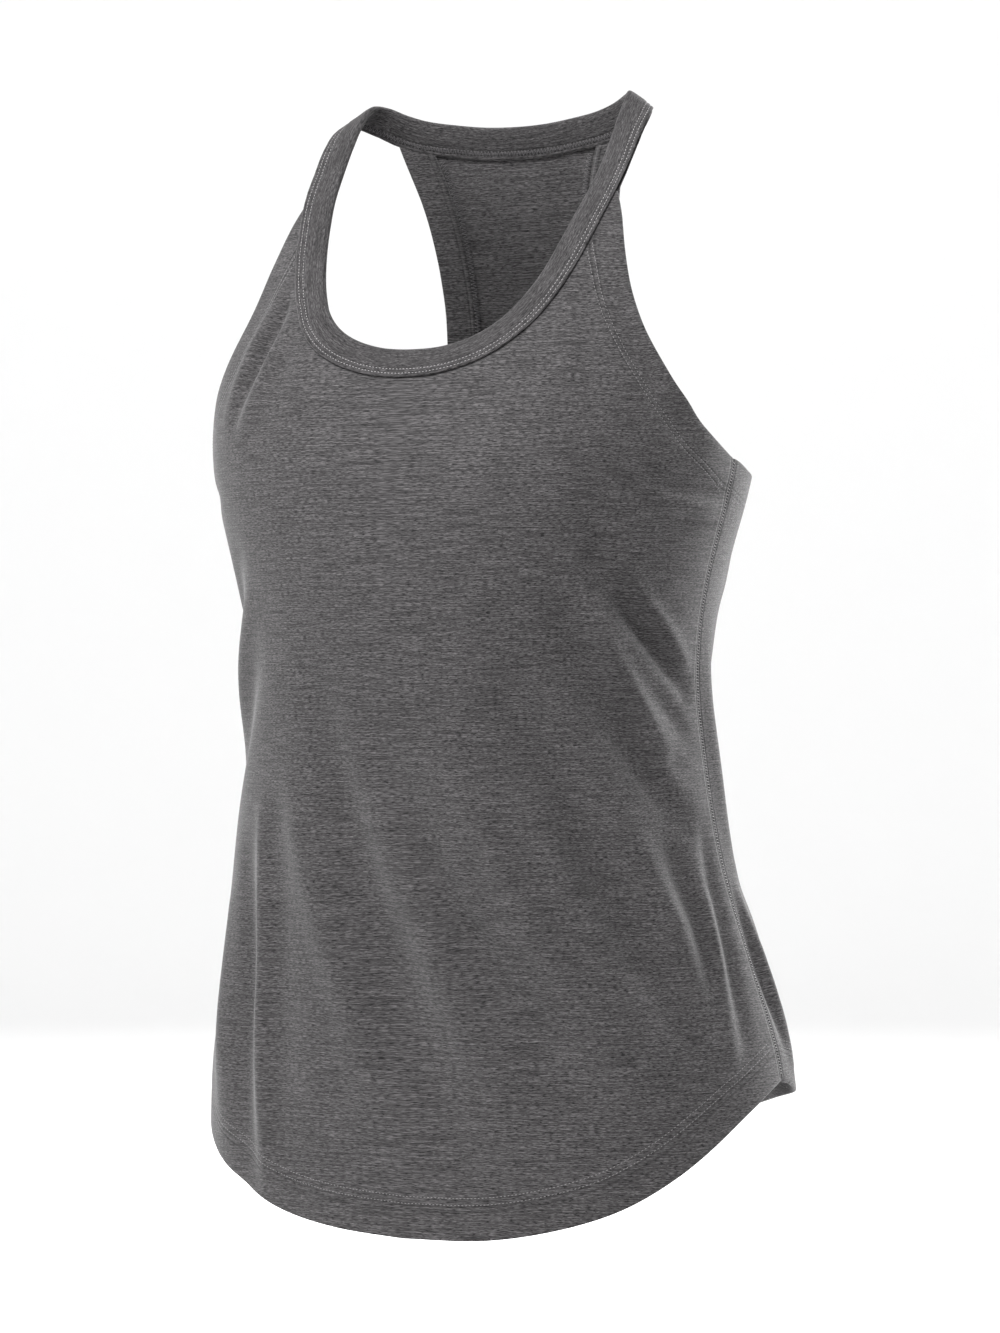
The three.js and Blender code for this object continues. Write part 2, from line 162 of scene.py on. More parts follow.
def outward(surface, a, b, step_a, step_b):
    """The direction across a surface, from points close by on each side."""
    along_a = surface(a + step_a, b) - surface(a - step_a, b)
    along_b = surface(a, b + step_b) - surface(a, b - step_b)
    return unit(np.cross(along_a, along_b))


print("front centre at the bust:", smooth_cloth(0.0, -231.0).round(1))

# %% [markdown]
# ## Folds
# The largest creases run down from the bust to the side seam, where the cloth is short of room, and
# down from the hips and shoulder blades, where it has too much. Each is a soft ridge or trough
# along a line, highest at its middle. The same kinds of fold are laid on the sides that don't show.

# %% Folds: the turns and heights of their lines, reach and rise
FOLDS = [
    # left of the bust, slanting down to the side seam
    ((0.58, 0.74, 0.93), (-276, -307, -339), 6, 3.5),
    ((0.54, 0.70, 0.92), (-279, -316, -353), 8, -7.5),
    ((0.48, 0.63, 0.80), (-292, -338, -388), 9, 6.0),
    ((0.47, 0.60, 0.73, 0.84), (-320, -366, -410, -432), 12, -8.0),
    ((0.79, 0.92), (-356, -384), 7, -2.0), ((0.70, 0.84), (-384, -414), 7, 2.5),
    ((0.52, 0.53, 0.50), (-225, -280, -350), 22, -5.0),
    # creases at the underarm
    ((0.64, 0.81, 0.97), (-234, -239, -241), 6, -3.5), ((0.67, 0.94), (-247, -251), 5, 2.8),
    ((0.70, 0.96), (-255, -260), 5, -2.5),
    # left hip, in front of the seam
    ((0.53, 0.65, 0.72, 0.75), (-395, -447, -493, -528), 11, 4.5),
    ((0.76, 0.81, 0.80), (-440, -490, -545), 11, -6.0),
    ((0.88, 0.83, 0.79), (-480, -528, -568), 8, 4.0),
    ((0.93, 0.90, 0.86), (-440, -500, -560), 8, -3.5),
    ((0.53, 0.60, 0.68), (-510, -550, -582), 7, 2.0),
    # front, from under the bust down and round to the left hip
    ((-0.30, -0.19, -0.08, -0.02), (-412, -482, -551, -609), 13, 6.0),
    ((-0.20, -0.14, -0.05, 0.03, 0.11), (-359, -412, -481, -561, -630), 14, -8.5),
    ((-0.02, 0.05, 0.12, 0.20), (-423, -480, -538, -583), 12, 6.0),
    ((-0.03, 0.035, 0.115, 0.235, 0.37), (-384, -431, -482, -533, -584), 12, -9.0),
    ((0.145, 0.25, 0.34, 0.48), (-401, -459, -510, -567), 11, 6.5),
    ((0.36, 0.47, 0.54), (-424, -487, -550), 11, 6.0),
    ((0.33, 0.39, 0.47, 0.56, 0.64), (-351, -396, -447, -504, -562), 15, -9.0),
    # right hip
    ((-0.36, -0.31, -0.27), (-430, -520, -620), 12, -3.0),
    ((-0.44, -0.39, -0.34), (-430, -512, -645), 8, 5.0),
    ((-0.52, -0.47, -0.42), (-455, -520, -640), 13, -6.5),
    ((-0.66, -0.61, -0.55), (-490, -545, -610), 12, 3.5),
    ((-0.88, -0.80), (-470, -560), 15, -5.0), ((-0.94, -0.88), (-500, -575), 10, 4.0),
    # right of the bust
    ((-0.56, -0.88), (-280, -355), 13, -4.0), ((-0.52, -0.84), (-305, -385), 12, 4.0),
    ((-0.50, -0.80), (-338, -420), 14, -4.0), ((-0.66, -0.94), (-240, -246), 7, -2.0),
    # from the right strap to the armhole
    ((-0.36, -0.43, -0.51), (-95, -140, -192), 8, 3.0),
    ((-0.33, -0.39, -0.46), (-108, -150, -196), 7, -3.5),
    ((-0.27, -0.36, -0.43), (-130, -172, -208), 9, 2.0),
    # from the left strap down the armhole, and towards the bust
    ((0.47, 0.57, 0.67, 0.80), (-125, -162, -190, -215), 10, -3.5),
    ((0.36, 0.41, 0.43), (-100, -150, -200), 9, -2.0),
    ((0.31, 0.33, 0.33), (-120, -160, -205), 9, 1.6),
    # behind the left seam
    ((1.08, 1.11), (-335, -455), 14, 4.0),
    ((1.20, 1.22), (-350, -470), 15, -4.0),
    ((1.22, 1.28), (-450, -590), 16, 2.5),
    ((1.07, 1.13), (-478, -572), 8, 4.5), ((1.03, 1.07), (-480, -560), 7, -3.0),
    # back, hanging from the shoulder blades
    ((1.45, 1.43, 1.37), (-410, -500, -610), 18, -7.0),
    ((1.64, 1.59, 1.57), (-370, -490, -615), 17, 6.5),
    ((1.84, 1.77, 1.76), (-320, -460, -615), 20, -7.0),
    ((-1.97, -1.92, -1.96), (-350, -500, -620), 19, 6.0),
    ((-1.74, -1.70, -1.63), (-390, -500, -615), 18, -7.5),
    ((-1.50, -1.45, -1.42), (-340, -480, -605), 16, 6.5),
    ((-1.26, -1.22), (-420, -590), 15, -5.0), ((-1.09, -1.13), (-330, -480), 14, 4.5),
    # back, from the shoulder blades to the underarms
    ((1.72, 1.50, 1.28), (-218, -262, -292), 13, 4.0),
    ((1.66, 1.48, 1.28), (-250, -290, -322), 11, -4.5),
    ((-1.70, -1.50, -1.30), (-228, -272, -306), 13, 4.0),
    ((-1.64, -1.46, -1.28), (-262, -306, -336), 11, -4.5),
]
FOLD_ENDS = 0.35  # the share of its rise that a fold keeps at its ends
ROUND = 4  # turns in the whole girth
TURN_STEP, HEIGHT_STEP = 0.004, 1.0


def lengths(points):
    """How far along its line each point lies."""
    steps = np.linalg.norm(np.diff(points, axis=0), axis=-1)
    return np.concatenate([[0], np.cumsum(steps)])


def fold_rise(turn, height):
    """How far the folds lift the cloth, by the distance from each fold's line."""
    total = 0
    for turns, heights, reach, rise in FOLDS:
        line = np.stack([np.array(turns) * QUARTER_GIRTH, heights], -1)
        away = turn - turns[0]
        away = (away - ROUND * np.round(away / ROUND) + turns[0]) * QUARTER_GIRTH
        place = np.stack(np.broadcast_arrays(away, height), -1)
        reached = lengths(line)
        least, along = np.inf, 0
        for k, run in enumerate(np.diff(line, axis=0)):
            share = np.clip((place - line[k]) @ run / (run @ run), 0, 1)
            off = np.linalg.norm(place - line[k] - share[..., None] * run, axis=-1)
            here = (reached[k] + share * (reached[k + 1] - reached[k])) / reached[-1]
            along = np.where(off < least, here, along)
            least = np.minimum(off, least)
        swell = FOLD_ENDS + (1 - FOLD_ENDS) * np.sin(np.pi * along)
        total = total + rise * swell * np.exp(-((least / reach) ** 2))
    return total


def cloth(turn, height):
    """Points on the filled garment, folds included."""
    out = outward(smooth_cloth, turn, height, TURN_STEP, HEIGHT_STEP)
    return smooth_cloth(turn, height) + out * fold_rise(turn, height)[..., None]


print("folds:", len(FOLDS))

# %% [markdown]
# ## The line of the neck
# The binding is a strip that is folded lengthwise over the neck edge. Two closed curves hold it:
# the fold, which is the neck's edge, and the sewn edge 19 mm away. Over the shoulders there is no
# panel between its leaves, and the strip is the strap. A curve that passes through its points keeps
# the places that can be measured, so each is drawn as such a curve and not as a curve with
# handles.

# %% Fold and sewn edge, on the left from the front centre to the back centre
BINDING_WIDTH = 19
FOLD = [
    (0, -106, -158), (21, -105.5, -156.5), (40, -103.5, -151), (53, -100.5, -143.5),
    (62.5, -95.5, -134), (69, -88.5, -123.5), (74.5, -80.5, -111), (79.3, -71, -95),
    (83.3, -60.5, -79), (86.9, -49, -63),
    (88.7, -36, -45.5), (89, -24, -28), (88.5, -13, -13), (86.8, -2, -2.5), (81.5, 6, -2.5),
    (71, 10.5, -7), (58, 13, -11), (40, 15, -14), (20, 16.5, -16.3), (0, 17, -17),
]
EDGE = [
    (0, -116, -174.5), (24, -115.5, -172.5), (48, -112.5, -165.5), (65, -108.5, -156),
    (77, -101.5, -144.5), (86, -92.5, -130.5), (92.5, -84, -116), (98, -73.5, -98.5),
    (102.3, -62.5, -81), (105.8, -51, -64),
    (107.5, -37.5, -45.5), (107.9, -24, -28), (107, -12, -17.5), (103, -2, -13.2), (93, 8, -17.5),
    (80, 15.5, -24), (64, 17.5, -29), (43.5, 20, -32.3), (21.5, 21, -35), (0, 21.5, -35.5),
]
FRONT_YOKE, BACK_YOKE, BACK_CENTRE = 9, 15, 19  # the points where the panels' tops end


def ring_line(left):
    """A closed smooth curve through the points on the left and their mirror image, by station."""
    left = np.array(left, float)
    points = np.concatenate([left, left[-2:0:-1] * (-1, 1, 1)])
    count = len(points)

    def at(station):
        whole = np.floor(station)
        t = (np.asarray(station) - whole)[..., None]
        p0, p1, p2, p3 = (points[(whole.astype(int) + k) % count] for k in (-1, 0, 1, 2))
        before, here, after = (
            np.linalg.norm(b - a, axis=-1, keepdims=True) ** 0.5
            for a, b in ((p0, p1), (p1, p2), (p2, p3))
        )
        leave = ((p1 - p0) / before - (p2 - p0) / (before + here) + (p2 - p1) / here) * here
        arrive = ((p2 - p1) / here - (p3 - p1) / (here + after) + (p3 - p2) / after) * here
        bend = 3 * (p2 - p1) - 2 * leave - arrive
        return p1 + leave * t + bend * t**2 + (2 * (p1 - p2) + leave + arrive) * t**3

    return at


fold_line, edge_line = ring_line(FOLD), ring_line(EDGE)
RING = 2 * BACK_CENTRE


def binding_middle(depth, station):
    """The middle of the folded strip at a depth from its fold."""
    share = np.asarray(depth)[..., None] / BINDING_WIDTH
    return fold_line(station) * (1 - share) + edge_line(station) * share


neck_length = lengths(fold_line(np.linspace(0, RING, 800)))[-1]
print("neck opening:", round(neck_length), "mm round")

# %% [markdown]
# ## A panel as a grid
# A panel is a grid of threads: across runs from -1 at its right edge to 1 at its left edge, and up
# from 0 at the hem to 1 at the binding. Each row rises from the centre line to the side line, which
# is the seam and then the armhole. Under the neck the rows bend to the binding's sewn edge. To turn
# an edge under, or to sew beside it, one has to walk in from it square to the edge. inset does that
# in short steps over the curved surface.

# %% Steps and blends of a panel
SIDE_STEPS = 200  # along a seam, and again along an armhole
NECK_STEPS = 200  # from the centre to the end of a yoke
NECK_POWER, HEM_POWER = 4, 2  # how soon the rows leave the neck's and the hem's line
BEND_FROM = 0.8  # where a panel begins to bend to the binding
SLOPE_STEP = 0.002


def smoothstep(value, low, high):
    t = np.clip((value - low) / (high - low), 0, 1)
    return t * t * (3 - 2 * t)


def dot(a, b):
    return (a * b).sum(-1)


def share_of(point):
    """The share of the way from the centre line to a seam, for a point of the smooth form."""
    x = np.minimum(np.abs(point[..., 0]) / section["half_width"](point[..., 2]), 1)
    return np.arcsin(x ** (section["squareness"](point[..., 2]) / 2)) * 2 / np.pi


# %% Panels
class Panel:
    """The front if facing is 1, and the back if it is -1."""

    def __init__(self, facing, hem_left, hem_right, armhole, centre, yoke):
        self.facing, self.hem_left, self.hem_right = facing, hem_left, hem_right
        t = np.linspace(0, 1, SIDE_STEPS + 1)
        steps = np.arange(len(armhole["share"]))
        share = np.minimum(through(steps, armhole["share"])(t * steps[-1]), 1)
        height = through(steps, armhole["height"])(t * steps[-1])
        seam_height = np.linspace(float(hem_left(1)), height[0], SIDE_STEPS, endpoint=False)
        self.side_share = np.concatenate([np.ones(SIDE_STEPS), share])
        self.side_height = np.concatenate([seam_height, height])
        side = lengths(smooth_cloth(self.turn(self.side_share), self.side_height))
        self.side_length, self.side_up = side[-1], side / side[-1]
        self.underarm = self.side_up[SIDE_STEPS]
        station = centre + t * (yoke - centre)
        along = lengths(edge_line(station))
        self.neck_share, self.neck_station = along / along[-1], station
        self.across = np.linspace(-1, 1, 2 * NECK_STEPS + 1)
        self.neck = edge_line(self.station(self.across))
        turn = self.turn(np.sign(self.across) * share_of(self.neck))
        self.miss = self.neck - cloth(turn, self.neck[:, 2])
        self.centre_neck = self.neck[NECK_STEPS, 2]

    def turn(self, across):
        return across if self.facing > 0 else np.where(across < 0, -2 - across, 2 - across)

    def station(self, across):
        side = np.where(across < 0, -1, 1)
        return side * np.interp(np.abs(across), self.neck_share, self.neck_station)

    def place(self, across, up):
        """The turn and height of a point of the panel."""
        aside, lift = np.abs(across), across**2
        neck = edge_line(self.station(across))
        hem_here = np.where(across > 0, self.hem_left(aside), self.hem_right(aside))
        hem_centre, hem_side = float(self.hem_left(0)), float(self.hem_left(1))
        near_neck, near_hem = np.clip(up, 0, 1) ** NECK_POWER, (1 - up) ** HEM_POWER
        share = aside * np.interp(up, self.side_up, self.side_share)
        share = share + near_neck * (share_of(neck) - aside * self.side_share[-1])
        centre = hem_centre + (self.centre_neck - hem_centre) * up
        height = centre + (np.interp(up, self.side_up, self.side_height) - centre) * lift
        height = height + near_hem * (hem_here - hem_centre - (hem_side - hem_centre) * lift)
        height = height + near_neck * (
            neck[..., 2] - self.centre_neck - (self.side_height[-1] - self.centre_neck) * lift
        )
        return self.turn(np.sign(across) * share), height

    def point(self, across, up):
        bend = smoothstep(up, BEND_FROM, 1)
        miss = np.stack([np.interp(across, self.across, self.miss[:, k]) for k in range(3)], -1)
        return cloth(*self.place(across, up)) + miss * bend[..., None]

    def slopes(self, across, up):
        """How the panel runs for each unit of across and of up."""
        step = SLOPE_STEP
        above, below = np.clip(up + step, 0, 1), np.clip(up - step, 0, 1)
        a = (self.point(across + step, up) - self.point(across - step, up)) / (2 * step)
        u = (self.point(across, above) - self.point(across, below)) / (2 * step)
        return a, u

    def out(self, across, up):
        a, u = self.slopes(across, up)
        return unit(np.cross(a, u)) * self.facing

    def inset(self, across, up, inward, distance, steps=4):
        """Walks in from an edge for a distance in millimetres."""
        step = distance / steps
        for _ in range(steps):
            a, u = self.slopes(across, up)
            across_share = dot(a, inward) * dot(u, u) - dot(u, inward) * dot(a, u)
            up_share = dot(u, inward) * dot(a, a) - dot(a, inward) * dot(a, u)
            whole = dot(a, a) * dot(u, u) - dot(a, u) ** 2
            across, up = across + across_share / whole * step, up + up_share / whole * step
            up = np.minimum(up, 1)
        return across, up

    def from_side(self, side, up):
        """The direction in from the side line at side -1 or 1."""
        a, u = self.slopes(np.full_like(up, side), up)
        return unit(-side * (a - u * (dot(a, u) / dot(u, u))[..., None]))

    def from_hem(self, across):
        """The direction up from the hem."""
        a, u = self.slopes(across, np.zeros_like(across))
        return unit(u - a * (dot(a, u) / dot(a, a))[..., None])


front = Panel(1, hem["front_left"], hem["front_right"], FRONT_ARMHOLE, 0, FRONT_YOKE)
back = Panel(-1, hem["back"], hem["back"], BACK_ARMHOLE, BACK_CENTRE, BACK_YOKE)
print("side lines:", round(front.side_length), "and", round(back.side_length), "mm")

# %% [markdown]
# ## The front and back as sheets
# On the real top each panel is cut flat from jersey, drawn here 0.9 mm thick. Its armholes and
# bottom are turned under by 20 mm and sewn down, and its sides are joined by a flat seam. So each
# sheet here is one grid that goes over its fold lines and back inside, as the cut piece does. The
# grid comes from create_grid, every vertex of it is moved to its place, and Solidify gives the
# thickness. The corners where two turned edges would meet are cut away, as a maker trims them.

# %% Turned edges
THICKNESS = 0.9
LAYER = 1.2  # from the middle of one layer to the middle of the next
FOLD_BACK = LAYER / 2 + THICKNESS / 2  # from the line of a fold to the middle of its bend
TURNED = 20.6  # width of the turned hems
SEAM_TURNED = 6.5  # width of the side seam inside
BEND = np.radians([45, 90, 135, 180])
INNER = 7  # columns of cloth inside a turned edge
EXTRA = len(BEND) + INNER
TUCK_DEPTHS = (16, 12, 8)  # rows of cloth between the leaves of the binding, from its fold
SIDE_SHIFT, HEM_SHIFT, YOKE_SHIFT = 0.86, 0.9, 0.97  # where columns and rows make room for a fold
SEAM_END = (0.955, 0.97)  # where the hem's turned edge passes over the seam's
TOP = 0.999  # just under the binding, where an edge still has a direction
WIDENING = 0.05  # share of the side line over which the seam's edge widens to the armhole's


def turned_edge(panel, across, up, inward, width, layer, distance_in=FOLD_BACK):
    """Points over the fold and back inside, for each point of an edge, and their pattern."""
    across_0, up_0 = panel.inset(across, up, inward, distance_in)
    bend = panel.point(across_0, up_0)
    out = panel.out(across_0, up_0)
    rounds = [
        bend - inward * (layer / 2 * math.sin(b)) - out * (layer / 2 * (1 - math.cos(b)))
        for b in BEND
    ]
    places = [panel.place(across_0, up_0)] * len(BEND)
    for k in range(1, INNER + 1):
        reach = (width - distance_in) * k / INNER
        across_k, up_k = panel.inset(across_0, up_0, inward, reach)
        rounds.append(panel.point(across_k, up_k) - panel.out(across_k, up_k) * layer)
        places.append(panel.place(across_k, up_k))
    return np.stack(rounds), places


def sheet_of(panel, half_columns, rows):
    """Every point of a panel's sheet, with the turn and height that its pattern follows."""
    across = np.linspace(-1, 1, 2 * half_columns + 1)
    up = np.linspace(0, 1, rows + 1)
    A, U = np.meshgrid(across, up)
    beside, below = smoothstep(np.abs(across), SIDE_SHIFT, 1), smoothstep(1 - up, HEM_SHIFT, 1)
    side_in, side_out = {}, {}
    ups = np.clip(up, 0, TOP)
    for side in (-1, 1):
        side_in[side] = panel.from_side(side, ups)
        edge = np.full_like(ups, side)
        moved = panel.inset(edge, ups, side_in[side], FOLD_BACK)
        side_out[side] = (moved[0] - edge, moved[1] - ups)
    hem_in = panel.from_hem(across)
    hem_moved = panel.inset(across, np.zeros_like(across), hem_in, FOLD_BACK)
    for i, a in enumerate(across):
        shift = side_out[-1 if a < 0 else 1]
        A[:, i] += beside[i] * shift[0] + below * (hem_moved[0][i] - a)
        rise = shift[1] * (1 - smoothstep(up, YOKE_SHIFT, 1))
        U[:, i] += beside[i] * rise + below * hem_moved[1][i]
    U = np.clip(U, 0, 1)
    main = panel.point(A, U)
    turn, height = panel.place(A, U)
    stations = panel.station(across)
    tuck = [binding_middle(np.full_like(across, d), stations) for d in TUCK_DEPTHS]
    columns, all_rows = 2 * half_columns + 1 + 2 * EXTRA, rows + 1 + EXTRA + len(TUCK_DEPTHS)
    points = np.zeros((all_rows, columns, 3))
    pattern = np.zeros((all_rows, columns, 2))
    kept = np.zeros((all_rows, columns), bool)
    inner = slice(EXTRA, EXTRA + len(across))
    body = slice(EXTRA, EXTRA + rows + 1)
    points[body, inner], kept[body, inner] = main, True
    pattern[body, inner, 0], pattern[body, inner, 1] = turn, height
    for k, row in enumerate(tuck):
        j = EXTRA + rows + 1 + k
        points[j, inner], kept[j, inner] = row, True
        pattern[j, inner] = pattern[EXTRA + rows, inner] + (0, BINDING_WIDTH - TUCK_DEPTHS[k])
    layer = LAYER * (1 + smoothstep(np.abs(across), *SEAM_END)[:, None])
    rounds, places = turned_edge(panel, across, np.zeros_like(across), hem_in, TURNED, layer)
    for k in range(EXTRA):
        j = EXTRA - 1 - k
        points[j, inner], kept[j, inner] = rounds[k], True
        pattern[j, inner, 0], pattern[j, inner, 1] = places[k]
    for side in (-1, 1):
        widened = smoothstep(ups, panel.underarm, panel.underarm + WIDENING)
        width = SEAM_TURNED + (TURNED - SEAM_TURNED) * widened
        edge = np.full_like(ups, side)
        rounds, places = turned_edge(panel, edge, ups, side_in[side], width, LAYER)
        for k in range(EXTRA):
            i = EXTRA - 1 - k if side < 0 else EXTRA + len(across) + k
            points[body, i], kept[body, i] = rounds[k], True
            pattern[body, i, 0], pattern[body, i, 1] = places[k]
    return points, pattern, kept


HALF_COLUMNS, ROWS = 84, 200
front_sheet = sheet_of(front, HALF_COLUMNS, ROWS)
back_sheet = sheet_of(back, HALF_COLUMNS, ROWS)
print("front sheet:", front_sheet[0].shape[:2], "back sheet:", back_sheet[0].shape[:2])

# %% Edge lines, and how far each point lies from them
def hemmed_edges(panel):
    """Points every half millimetre or so along the bottom and both armholes."""
    across = np.linspace(-1, 1, 900)
    up = np.linspace(panel.underarm, 1, 700)
    lines = [panel.point(across, np.zeros_like(across))]
    lines += [panel.point(np.full_like(up, side), up) for side in (-1, 1)]
    return np.concatenate(lines)


def distance_from(points, line):
    """How far each point lies from the nearest point of a line."""
    tree = kdtree.KDTree(len(line))
    for i, p in enumerate(line):
        tree.insert(p, i)
    tree.balance()
    return np.array([tree.find(p)[2] for p in points])


# %% Make a sheet's mesh
def mesh_from(name, bm):
    """A mesh of what was built, with smooth faces."""
    for face in bm.faces:
        face.smooth = True
    mesh = bpy.data.meshes.new(name)
    bm.to_mesh(mesh)
    bm.free()
    return mesh


def add_piece(name, mesh):
    """A new object in the scene. A mesh that is still being built is finished first."""
    mesh = mesh_from(name, mesh) if isinstance(mesh, bmesh.types.BMesh) else mesh
    made = bpy.data.objects.new(name, mesh)
    bpy.context.collection.objects.link(made)
    print(name, "has", len(mesh.polygons), "faces")
    return made


def grid_mesh(name, points, kept, inside_first=False):
    """A grid moved to those of its points that are kept, and each vertex's place in the grid."""
    rows, columns = kept.shape
    bm = bmesh.new()
    bmesh.ops.create_grid(bm, x_segments=columns - 1, y_segments=rows - 1, size=1)
    order = bm.verts.layers.int.new("order")
    unwanted = []
    for vert in bm.verts:
        i = round((vert.co.x + 1) / 2 * (columns - 1))
        j = round((vert.co.y + 1) / 2 * (rows - 1))
        vert[order] = j * columns + i
        if kept[j, i]:
            vert.co = Vector(points[j, i]) * MM
        else:
            unwanted.append(vert)
    bmesh.ops.delete(bm, geom=unwanted, context="VERTS")
    if inside_first:
        bmesh.ops.reverse_faces(bm, faces=bm.faces)
    mesh = mesh_from(name, bm)
    index = np.zeros(len(mesh.vertices), int)
    mesh.attributes["order"].data.foreach_get("value", index)
    mesh.attributes.remove(mesh.attributes["order"])
    return mesh, index


def add_pattern(mesh, along, up):
    """The flat cloth's millimetres at each vertex, as a UV map in metres."""
    flat = np.stack([along, up], -1) * MM
    corner = np.zeros(len(mesh.loops), int)
    mesh.loops.foreach_get("vertex_index", corner)
    mesh.uv_layers.new(name="cloth").data.foreach_set("uv", flat[corner].astype(np.float32).ravel())


def sheet_piece(name, points, pattern, kept, edges, inside_first):
    """A panel's sheet, with its pattern and with its distance from the hems."""
    mesh, index = grid_mesh(name, points, kept, inside_first)
    turn = np.unwrap(pattern[..., 0], period=ROUND, axis=1).reshape(-1)[index]
    add_pattern(mesh, turn * QUARTER_GIRTH, pattern[..., 1].reshape(-1)[index])
    away = distance_from(points.reshape(-1, 3)[index], edges)
    layer = mesh.attributes.new("hem_distance", "FLOAT", "POINT")
    layer.data.foreach_set("value", away.astype(np.float32))
    return add_piece(name, mesh)


def thicken(piece, thickness):
    """Solidify, half the thickness to each side."""
    wall = piece.modifiers.new("wall", "SOLIDIFY")
    wall.thickness, wall.offset, wall.use_rim = thickness * MM, 0, True


front_cloth = sheet_piece("front_cloth", *front_sheet, hemmed_edges(front), False)
back_cloth = sheet_piece("back_cloth", *back_sheet, hemmed_edges(back), True)
thicken(front_cloth, THICKNESS)
thicken(back_cloth, THICKNESS)

# %% [markdown]
# ## The neck binding
# A strip of the same jersey, folded lengthwise over the neck edge and sewn down with two rows of
# stitches. A curve with a bevel could carry one section round the neck, but a sewn strip swells
# unevenly between its stitches. So it is a grid too: along the ring, and over its own section from
# the outer sewn edge, over the fold, to the inner sewn edge. The section dips under each row of
# stitches and puffs up beside it.

# %% Section of one leaf: depth from the fold, and height of the leaf over the strip's middle
LEAF_DEPTH = [
    19.0, 18.7, 18.1, 17.4, 16.8, 16.2, 15.4, 14.6, 13.9, 13.2, 12.3, 10.5, 8.0, 5.5, 3.2, 1.6,
]
LEAF_LIFT = [
    1.02, 1.28, 1.42, 1.34, 1.12, 1.34, 1.46, 1.38, 1.12, 1.38, 1.56, 1.66, 1.70, 1.68, 1.58, 1.36,
]
FOLD_ANGLES = np.radians([60, 30, 0, -30, -60])
FOLD_RADIUS, FOLD_DEPTH = 1.25, 1.3
BINDING_ROWS = (16.8, 13.9)  # depths of the two rows of stitches
STATIONS = 560
DEPTH_STEP, STATION_STEP = 0.5, 0.02
STATION_LENGTH = 22  # from one station to the next, more or less
JOINT_STATION = RING - 14.2  # where the strip's ends are joined, behind the right shoulder
JOINT_DIP, JOINT_WIDTH = 0.45, 1.1
SWELLS = ((9, 0, 0.05), (3.1, 1.7, 0.05), (1.37, 0.4, 0.04))  # length, start and size of each
YOKE_OPEN = 0.2  # how far past a yoke the leaves are still apart, in stations
STRAP_DROP = 0.5  # how much closer the leaves lie at the sewn edge of a strap
LENGTH_DEPTH = 10.0  # where the strip's length is measured


def binding_out(depth, station):
    return outward(binding_middle, depth, station, DEPTH_STEP, STATION_STEP)


def strap_share(station):
    """1 on the straps, where the two leaves meet at their sewn edges, and 0 on the panels."""
    left = np.minimum(np.mod(station, RING), RING - np.mod(station, RING))
    past_front = smoothstep(left, FRONT_YOKE + YOKE_OPEN, FRONT_YOKE + 1)
    past_back = smoothstep(left, BACK_YOKE - 1, BACK_YOKE - YOKE_OPEN)
    return past_front * (1 - past_back)


def leaf_lift(depth, station):
    """Height of a leaf over the strip's middle, uneven between the stitches as sewn cloth is."""
    flat = np.interp(depth, LEAF_DEPTH[::-1], LEAF_LIFT[::-1])
    along = station * STATION_LENGTH
    uneven = sum(np.sin(along / length + start) * size for length, start, size in SWELLS)
    strap = strap_share(station) * smoothstep(depth, 12, BINDING_WIDTH) * STRAP_DROP
    return flat * (1 + uneven * smoothstep(depth, 1, 12)) - strap


# equal steps along the fold, so that the grid and the stitches keep their spacing
fine = np.linspace(0, RING, 4001)
along_fold = lengths(binding_middle(np.full_like(fine, LENGTH_DEPTH), fine))
RING_LENGTH = along_fold[-1]


def station_at(distance):
    """The station that lies at a distance along the strip, from the front centre to the left."""
    return np.interp(np.mod(distance, RING_LENGTH), along_fold, fine)


def binding_grid():
    """Rows of points round the ring, from the outer leaf over the fold to the inner one."""
    station = station_at(np.linspace(0, RING_LENGTH, STATIONS, endpoint=False))
    section_points = []
    depths = np.array(LEAF_DEPTH)
    for side in (1, -1):
        order = depths if side > 0 else depths[::-1]
        rows = []
        for depth in order:
            d = np.full_like(station, depth)
            from_joint = (station - JOINT_STATION) * STATION_LENGTH
            joint = JOINT_DIP * np.exp(-((from_joint / JOINT_WIDTH) ** 2))
            lift = side * (leaf_lift(d, station) - joint)[:, None]
            rows.append(binding_middle(d, station) + binding_out(d, station) * lift)
        section_points.append(rows)
    bend = []
    near = np.full_like(station, FOLD_DEPTH)
    across = unit(fold_line(station) - edge_line(station))
    out = binding_out(near, station)
    for angle in FOLD_ANGLES:
        bend.append(
            binding_middle(near, station)
            + across * (FOLD_RADIUS * math.cos(angle)) + out * (FOLD_RADIUS * math.sin(angle))
        )
    return np.stack(section_points[0] + bend + section_points[1])


binding_points = binding_grid()
print("binding:", round(RING_LENGTH), "mm long,", len(binding_points), "points in its section")

# %% Make the binding's mesh
WELD = 0.01


def binding_piece(name, points):
    """The strip's grid, closed to a ring by welding its last column to its first."""
    closed = np.concatenate([points, points[:, :1]], axis=1)
    rows, columns = closed.shape[:2]
    mesh, index = grid_mesh(name, closed, np.ones((rows, columns), bool))
    along = np.linspace(0, RING_LENGTH, columns)
    add_pattern(mesh, along[index % columns], lengths(points[:, 0])[index // columns])
    welded = bmesh.new()
    welded.from_mesh(mesh)
    bmesh.ops.remove_doubles(welded, verts=welded.verts, dist=WELD * MM)
    welded.to_mesh(mesh)
    welded.free()
    return add_piece(name, mesh)


binding_cloth = binding_piece("binding_cloth", binding_points)
thicken(binding_cloth, THICKNESS)

# %% [markdown]
# ## Stitches
# Sewing thread about 0.4 mm thick. A stitch shows as a short rounded dash that sinks into the cloth
# at both ends. A curve with a bevel would lie on the cloth like a wire, so each stitch is a
# stretched ball with few faces. They are made in rows: a path is walked at the stitch's pitch, and
# each dash is turned along the path and raised to the cloth's surface.

